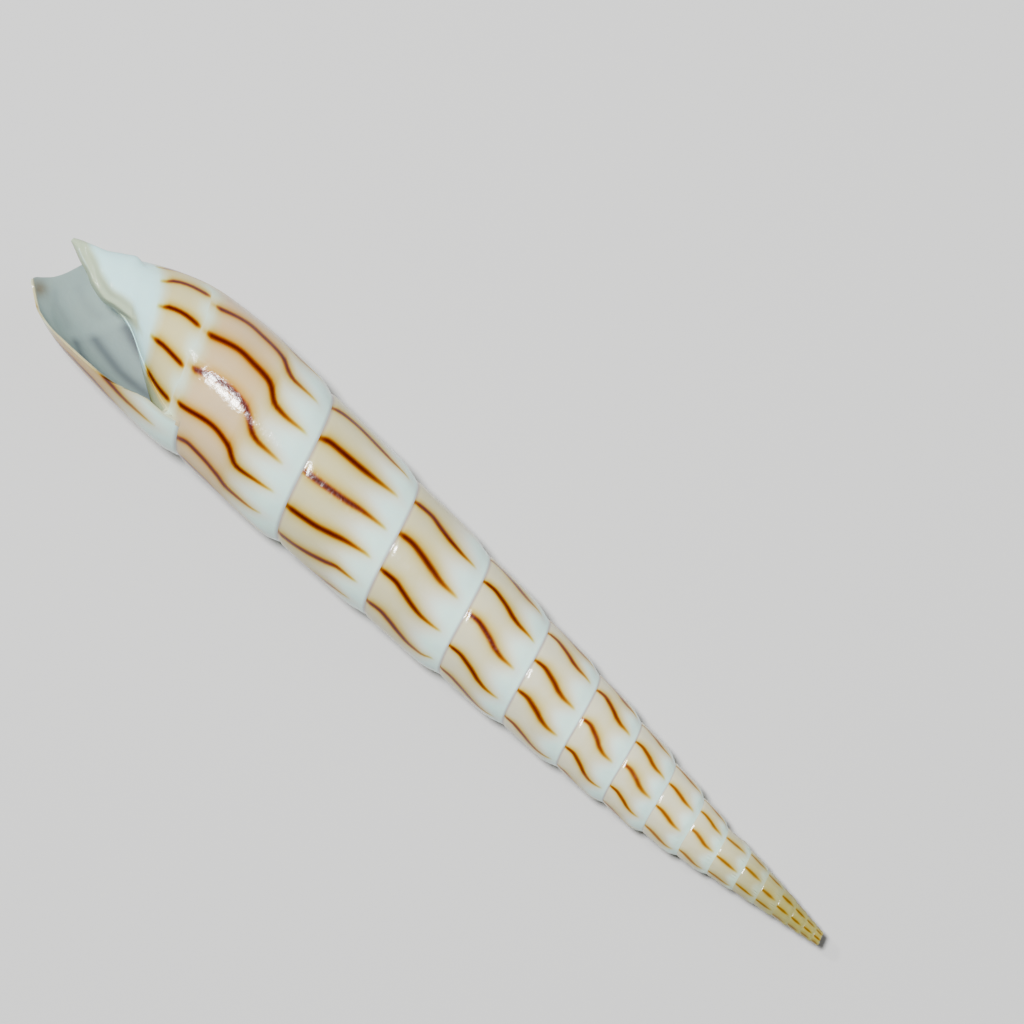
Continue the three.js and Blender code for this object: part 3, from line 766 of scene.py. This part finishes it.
def cornerPlaces(mesh, local):
    # Turn g and place v of every face corner, from its place along and round the axis. All corners of a
    # face are counted on the whorl of the face's middle, and never past the outer lip.
    vertex = np.empty(len(mesh.loops), np.int32)
    mesh.loops.foreach_get("vertex_index", vertex)
    sizes = np.empty(len(mesh.polygons), np.int32)
    mesh.polygons.foreach_get("loop_total", sizes)
    starts = np.concatenate([[0], np.cumsum(sizes)[:-1]])
    face = np.repeat(np.arange(len(sizes)), sizes)
    corner = local[vertex]
    middle = np.add.reduceat(corner, starts, axis=0) / sizes[:, None]

    def polar(p):
        y = p[:, 1] - leanAt(p[:, 0])
        fromApex = np.maximum(shellForm["virtualApex"] - p[:, 0], 0.5)
        height = np.log(fromApex / shellForm["lastSuture"]) / growthLog
        return np.arctan2(y, p[:, 2]) / (2 * np.pi), height, np.hypot(y, p[:, 2])

    turn, height, radius = polar(middle)
    whorl = np.floor(height - turn)
    for _ in range(2):
        g = whorl + turn
        whorl -= g > lipAt(height - g) + 0.002
    g = whorl + turn
    for shiftBy in (1, -1):
        other = g + shiftBy
        younger = np.maximum(g, other)
        close = np.abs(younger - lipAt(height - younger)) < mouthForm["lipNear"]
        miss = np.abs(surfaceRadius(g, height - g) - radius)
        otherMiss = np.abs(surfaceRadius(other, height - other) - radius)
        better = close & (otherMiss < miss) & (height - other > -0.05)
        g = np.where(better, other, g)
    near, deep = mouthForm["onGlaze"]
    inner = np.abs(ownRadius(g - 1, height - g + 1) + mouthForm["glaze"] - radius) < near
    inner &= surfaceRadius(g, height - g) - radius > deep
    g = np.where(inner, g - 1, g)

    cornerTurn, cornerHeight, cornerRadius = polar(corner)
    step = cornerTurn - turn[face]
    cornerG = g[face] + step - np.round(step)
    onBase = (height - g > lineForm["rowChange"])[face]
    return corner, cornerG, cornerHeight - cornerG, cornerRadius, inner[face], onBase


def pigment(g, v, radius, phase, onBase, lastWhorl):
    # How much pigment a line holds and how wide it is against the others: the ink rises below the suture,
    # ends above the next one and pales towards the tip.
    form = lineForm
    chance = np.random.default_rng(form["seed"])
    line = np.round(phase).astype(int) + form["baseDraws"] * onBase
    ownStart = chance.uniform(*form["starts"], form["draws"])[line]
    ownWidth = chance.uniform(*form["widths"], form["draws"])[line]
    short, long = form["rise"]
    rise = smoothStep(v, ownStart, ownStart + short)
    rise = rise * mix(form["firstInk"], 1, smoothStep(v, ownStart, ownStart + long))
    fadeFrom, fadeTo, fade = form["endFade"]
    end = mix(1 - smoothStep(v, fadeFrom, fadeTo) * fade, 1 - smoothStep(v, *form["lastEnd"]), lastWhorl)
    baseInk = smoothStep(v, *form["baseStart"]) * (1 - smoothStep(v, *form["baseStop"]))
    ink = np.where(onBase, baseInk, rise * end)
    spireFrom, spireTo, spireInk = form["spireInk"]
    ink = ink * mix(1, spireInk, smoothStep(-g, spireFrom, spireTo))
    hookFrom, hookTo, hookEnd = form["hook"]
    hooked = (g > hookFrom) & (g < hookTo)
    ink = np.where(hooked, ink * (1 - smoothStep(v, hookEnd - 0.03, hookEnd + 0.02)), ink)
    size = ownWidth * np.sqrt(radius / form["fullRadius"]) * mix(*form["taper"], smoothStep(v, 0.1, 0.6))
    size = size * (1 - form["spireTaper"] * smoothStep(v, 0.7, 1) * smoothStep(-g, 1, 4))
    return ink, np.where(onBase, ownWidth, size)


def paintShell(mesh, local):
    # Fills the attributes that the glaze reads: the ground colour, the distances to the lines, how much
    # pigment they hold, and how far a corner is inside the mouth.
    form = groundForm

    def rises(value, ends):
        return smoothStep(value, *form[ends])

    corner, g, v, radius, inner, onBase = cornerPlaces(mesh, local)
    x, y = corner[:, 0], corner[:, 1]
    fullRadius = surfaceRadius(g, v)
    raised = (corner @ layDown.T)[:, 2]
    onFlat = raised < raised.min() + 0.03
    mouthX, mouthTurn = form["mouthEnds"]
    inMouth = rises(fullRadius - radius, "mouthDepth") * (x < mouthX) * (g > mouthTurn) * ~onFlat
    inMouth = np.where(inner, 0, inMouth)

    centre, right, left, above, below = pillarSection(np.clip(x, 0.26, 10.7))
    aside = (y - centre) / np.where(y > centre, left, right)
    ahead = corner[:, 2] / np.where(corner[:, 2] > 0, above, below)
    pillar = 1 - rises(np.hypot(aside, ahead), "pillarEdge")
    pillar = pillar * (1 - rises(x, "pillarEnds"))
    inMouth = inMouth * (1 - pillar)
    front = rises(v, "whiteBegins") * (g > form["lastWhorl"][0])
    white = np.maximum(pillar, front * (1 - inMouth))
    narrowFrom, narrowTo, times = form["callusNarrows"]
    fromEdge = (y - centre + right) * mix(1, times, smoothStep(x, narrowFrom, narrowTo))
    callus = pillar * (1 - rises(fromEdge, "callusEdge")) * (1 - rises(x, "callusEnds"))

    core, glow, phase = lineFields(g, v, np.maximum(radius, 0.3), onBase)
    between = np.sin(np.pi * phase) ** 2
    reach = v - lineForm["bandGap"] * (between - 0.5)
    band = 1 - rises(reach, "bandEnds")
    paleFrom, paleTo, paleShare = form["olderPale"]
    pale = np.maximum(1 - rises(reach, "paleEnds"), paleShare * smoothStep(-g, paleFrom, paleTo))
    # Painted shade: a thin greyish line along each suture, fading out near the tip
    fromSuture = np.where((v > 0.5) & (hasWhorlBelow(g) > 0.5), np.abs(1 - v), v)
    seam = (1 - rises(fromSuture, "sutureShadeEnds")) * (1 - rises(x, "sutureShadeFades"))
    lastWhorl = rises(g, "lastWhorl")
    blotchShare, blotchV, blotchWidth = form["blotch"]
    blotch = blotchShare * lastWhorl * between * np.exp(-(((v - blotchV) / blotchWidth) ** 2))
    middle = rises(v, "pinkBegins") * (1 - rises(v, "pinkEnds"))
    middle = middle * rises(g, "pinkTurns")
    base = rises(v, "creamBegins") * lastWhorl
    lip = (1 - rises(np.abs(g - lipAt(v)), "lipEnds")) * (1 - white)
    # A darker brownish patch on the inside of the front corner of the mouth
    darkCornerX, darkCornerY, darkCornerWidth = form["darkCornerAt"]
    darkCorner = np.exp(-((x - darkCornerX) ** 2 + (y - darkCornerY) ** 2) / darkCornerWidth**2) * inMouth
    # Painted shadow: a grey streak beside the columella, inside the mouth
    shadeX, shadeY, slope, width = form["shadeFrom"]
    offStreak = (y - shadeY - slope * (x - shadeX)) / width
    shade = np.exp(-(offStreak**2)) * rises(x - shadeX, "shadeBegins") * inMouth
    spareFrom, spareTo, spared = form["amberSpares"]
    amber = rises(x, "amberFrom") * (1 - spared * band * (1 - smoothStep(x, spareFrom, spareTo)))
    edgeCovers, faceCovers = form["callusCovers"]
    callus = np.where(inner, faceCovers, edgeCovers * callus)
    ground = np.broadcast_to(linear(form["side"]), (len(x), 3))
    for name, share in (
        ("pale", pale), ("band", band), ("pink", middle), ("cream", base), ("band", blotch), ("seam", seam),
        ("white", white), ("callus", callus), ("amber", amber), ("inside", inMouth), ("darkCorner", darkCorner),
        ("shade", shade), ("lip", lip),
    ):
        ground = mix(ground, linear(form[name]), (form["covers"].get(name, 1) * share)[:, None])

    ink, size = pigment(g, v, radius, phase, onBase, lastWhorl)
    rowInk, baseRowInk, faceInk = lineForm["insideInk"]
    shown = mix(1, np.where(onBase, baseRowInk, rowInk), inMouth) * np.where(inner, faceInk, 1)
    ink = ink * (1 - 0.8 * lip * (v > 1.2)) * (1 - white) * shown
    size = size * mix(1, lineForm["insideWiden"], inMouth)

    def store(name, kind, values):
        attribute = mesh.attributes.new(name, kind, "CORNER")
        key = "color" if kind == "FLOAT_COLOR" else "value"
        attribute.data.foreach_set(key, np.ascontiguousarray(values, np.float32).ravel())

    store("ground", "FLOAT_COLOR", np.c_[ground, np.ones(len(ground))])
    store("lineCore", "FLOAT", core / (lineForm["coreWidth"] * size))
    store("lineGlow", "FLOAT", glow / (lineForm["glowWidth"] * size))
    store("lineInk", "FLOAT", ink)
    store("inMouth", "FLOAT", inMouth)


paintShell(shell.data, local)
print("lines drawn")

glazeForm = {
    "roughness": 0.15,
    "bend": 1.38,  # index of refraction
    "glow": 0.2,  # how much light the shell carries inside
    "glowDepth": 0.00025,
    "absorb": (0.42, 0.93, 3),  # of red, green and blue by the pigment
    "shadowAbsorb": (1.15, 1.25, 1.1),  # by the lines that show through from outside
    "coreInk": 4.4,
    "glowInk": 0.75,
    "mottleScale": 420,
    "mottleTones": [(0.35, (0.93, 0.93, 0.95, 1)), (0.65, (1, 0.99, 0.97, 1))],
    "bumpScale": 2200,
    "bumpHeight": 0.00004,
}


def makeGlaze():
    # Ground colour times e ^ -(absorption * pigment), with pigment = ink * (core e ^ -core^2 + glow e ^
    # -glow^2). Inside the mouth the absorption goes over to a grey one.
    material = bpy.data.materials.new("shellGlaze")
    material.use_nodes = True
    nodes, links = material.node_tree.nodes, material.node_tree.links
    surface = nodes["Principled BSDF"]

    def attribute(name, output="Fac"):
        node = nodes.new("ShaderNodeAttribute")
        node.attribute_name = name
        return node.outputs[output]

    def calculate(operation, a, b=None):
        node = nodes.new("ShaderNodeMath")
        node.operation = operation
        for socket, value in zip(node.inputs, (a, b)):
            if value is None:
                continue
            if isinstance(value, (int, float)):
                socket.default_value = value
            else:
                links.new(value, socket)
        return node.outputs[0]

    def bell(name, amount):
        distance = attribute(name)
        falling = calculate("EXPONENT", calculate("MULTIPLY", calculate("MULTIPLY", distance, distance), -1))
        return calculate("MULTIPLY", falling, amount)

    onObject = nodes.new("ShaderNodeTexCoord").outputs["Object"]

    def noise(scale, detail):
        node = nodes.new("ShaderNodeTexNoise")
        node.inputs["Scale"].default_value = scale
        node.inputs["Detail"].default_value = detail
        links.new(onObject, node.inputs["Vector"])
        return node.outputs["Fac"]

    def multiplied(first, second):
        node = nodes.new("ShaderNodeMix")
        node.data_type = "RGBA"
        node.blend_type = "MULTIPLY"
        node.inputs["Factor"].default_value = 1
        links.new(first, node.inputs["A"])
        links.new(second, node.inputs["B"])
        return node.outputs["Result"]

    mottle = noise(glazeForm["mottleScale"], 3)
    both = calculate("ADD", bell("lineCore", glazeForm["coreInk"]), bell("lineGlow", glazeForm["glowInk"]))
    uneven = calculate("ADD", calculate("MULTIPLY", mottle, 0.5), 0.75)
    ink = calculate("MULTIPLY", calculate("MULTIPLY", both, attribute("lineInk")), uneven)
    colour = nodes.new("ShaderNodeCombineColor")
    inMouth = attribute("inMouth")
    for socket, absorb, shadow in zip(colour.inputs, glazeForm["absorb"], glazeForm["shadowAbsorb"]):
        strength = calculate("ADD", calculate("MULTIPLY", inMouth, absorb - shadow), -absorb)
        links.new(calculate("EXPONENT", calculate("MULTIPLY", ink, strength)), socket)
    lined = multiplied(attribute("ground", "Color"), colour.outputs[0])
    tone = nodes.new("ShaderNodeValToRGB")
    for element, (position, shade) in zip(tone.color_ramp.elements, glazeForm["mottleTones"]):
        element.position = position
        element.color = shade
    links.new(mottle, tone.inputs["Fac"])
    links.new(multiplied(lined, tone.outputs["Color"]), surface.inputs["Base Color"])

    bump = nodes.new("ShaderNodeBump")
    bump.inputs["Strength"].default_value = 0.5
    bump.inputs["Distance"].default_value = glazeForm["bumpHeight"]
    links.new(noise(glazeForm["bumpScale"], 4), bump.inputs["Height"])
    links.new(bump.outputs["Normal"], surface.inputs["Normal"])
    surface.inputs["Roughness"].default_value = glazeForm["roughness"]
    surface.inputs["IOR"].default_value = glazeForm["bend"]
    surface.inputs["Subsurface Weight"].default_value = glazeForm["glow"]
    surface.inputs["Subsurface Radius"].default_value = (1, 0.8, 0.6)
    surface.inputs["Subsurface Scale"].default_value = glazeForm["glowDepth"]
    return material


shell.data.materials.clear()
shell.data.materials.append(makeGlaze())
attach(shell, "root")
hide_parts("shell")
print("glazed")

# Camera square to the shell's axis, looking down into the aperture, with the photograph's frame
cameraForm = {
    "target": (27.335, 5.836, 0),  # place at the middle of the frame, in the shell's own frame
    "width": 54.63,  # of the frame at the shell
    "distance": 420,
    "turn": math.radians(42.83),  # how far the shell's axis runs down across the frame
    "sensor": 36,
}


def worldPoint(x, y, z):
    return Vector(layDown @ np.array([x, y, z]) * mm + shift)


def worldDirection(x, y, z):
    return Vector(layDown @ np.array([x, y, z]))


across, down = math.cos(cameraForm["turn"]), math.sin(cameraForm["turn"])
right = worldDirection(across, down, 0)
up = worldDirection(-down, across, 0)
towards = worldDirection(0, 0, 1)
camera = bpy.data.cameras.new("camera")
camera.sensor_width = cameraForm["sensor"]
camera.lens = cameraForm["sensor"] * cameraForm["distance"] / cameraForm["width"]
camera.clip_end = 10
cameraObject = inScene("camera", camera)
placed = Matrix((right, up, towards)).transposed().to_4x4()
placed.translation = worldPoint(*cameraForm["target"]) + towards * cameraForm["distance"] * mm
cameraObject.matrix_world = placed
bpy.context.scene.camera = cameraObject

floorCorners = np.array([(-3, -3, 0), (3, -3, 0), (3, 3, 0), (-3, 3, 0)])
floor = meshFrom("floor", floorCorners, [np.array([[0, 1, 2, 3]])])
paper = bpy.data.materials.new("paleFloor")
paper.use_nodes = True
paper.node_tree.nodes["Principled BSDF"].inputs["Base Color"].default_value = (0.5, 0.5, 0.495, 1)
floor.data.materials.append(paper)

# Plain soft studio light: a lamp beside the camera, a small one low at the front end, a wide soft box that
# shows in no reflection, and a pale room
lightForm = {
    "lamp": {"towards": (-0.2, 0.02, 1), "distance": 700, "size": 105, "power": 8.8, "shine": True},
    "frontLamp": {"towards": (-0.64, 0.04, 1), "distance": 700, "size": 60, "power": 1.4, "shine": True},
    "softBox": {"towards": (0.5, 0.9, 1.1), "distance": 900, "size": 900, "power": 2.1, "shine": False},
    "room": 0.1,
}


def addLamp(name, towards, distance, size, power, shine):
    lamp = bpy.data.lights.new(name, "AREA")
    lamp.shape = "DISK"
    lamp.size = size * mm
    lamp.energy = power
    lampObject = inScene(name, lamp)
    lampObject.visible_glossy = shine
    direction = worldDirection(*towards).normalized()
    lampObject.location = worldPoint(24, 0, 0) + direction * distance * mm
    lampObject.rotation_mode = "QUATERNION"
    lampObject.rotation_quaternion = direction.to_track_quat("Z", "Y")


for name in ("lamp", "frontLamp", "softBox"):
    addLamp(name, **lightForm[name])
world = bpy.data.worlds.new("world")
bpy.context.scene.world = world
world.use_nodes = True
world.node_tree.nodes["Background"].inputs["Color"].default_value = (1, 1, 1, 1)
world.node_tree.nodes["Background"].inputs["Strength"].default_value = lightForm["room"]
world.cycles_visibility.glossy = False
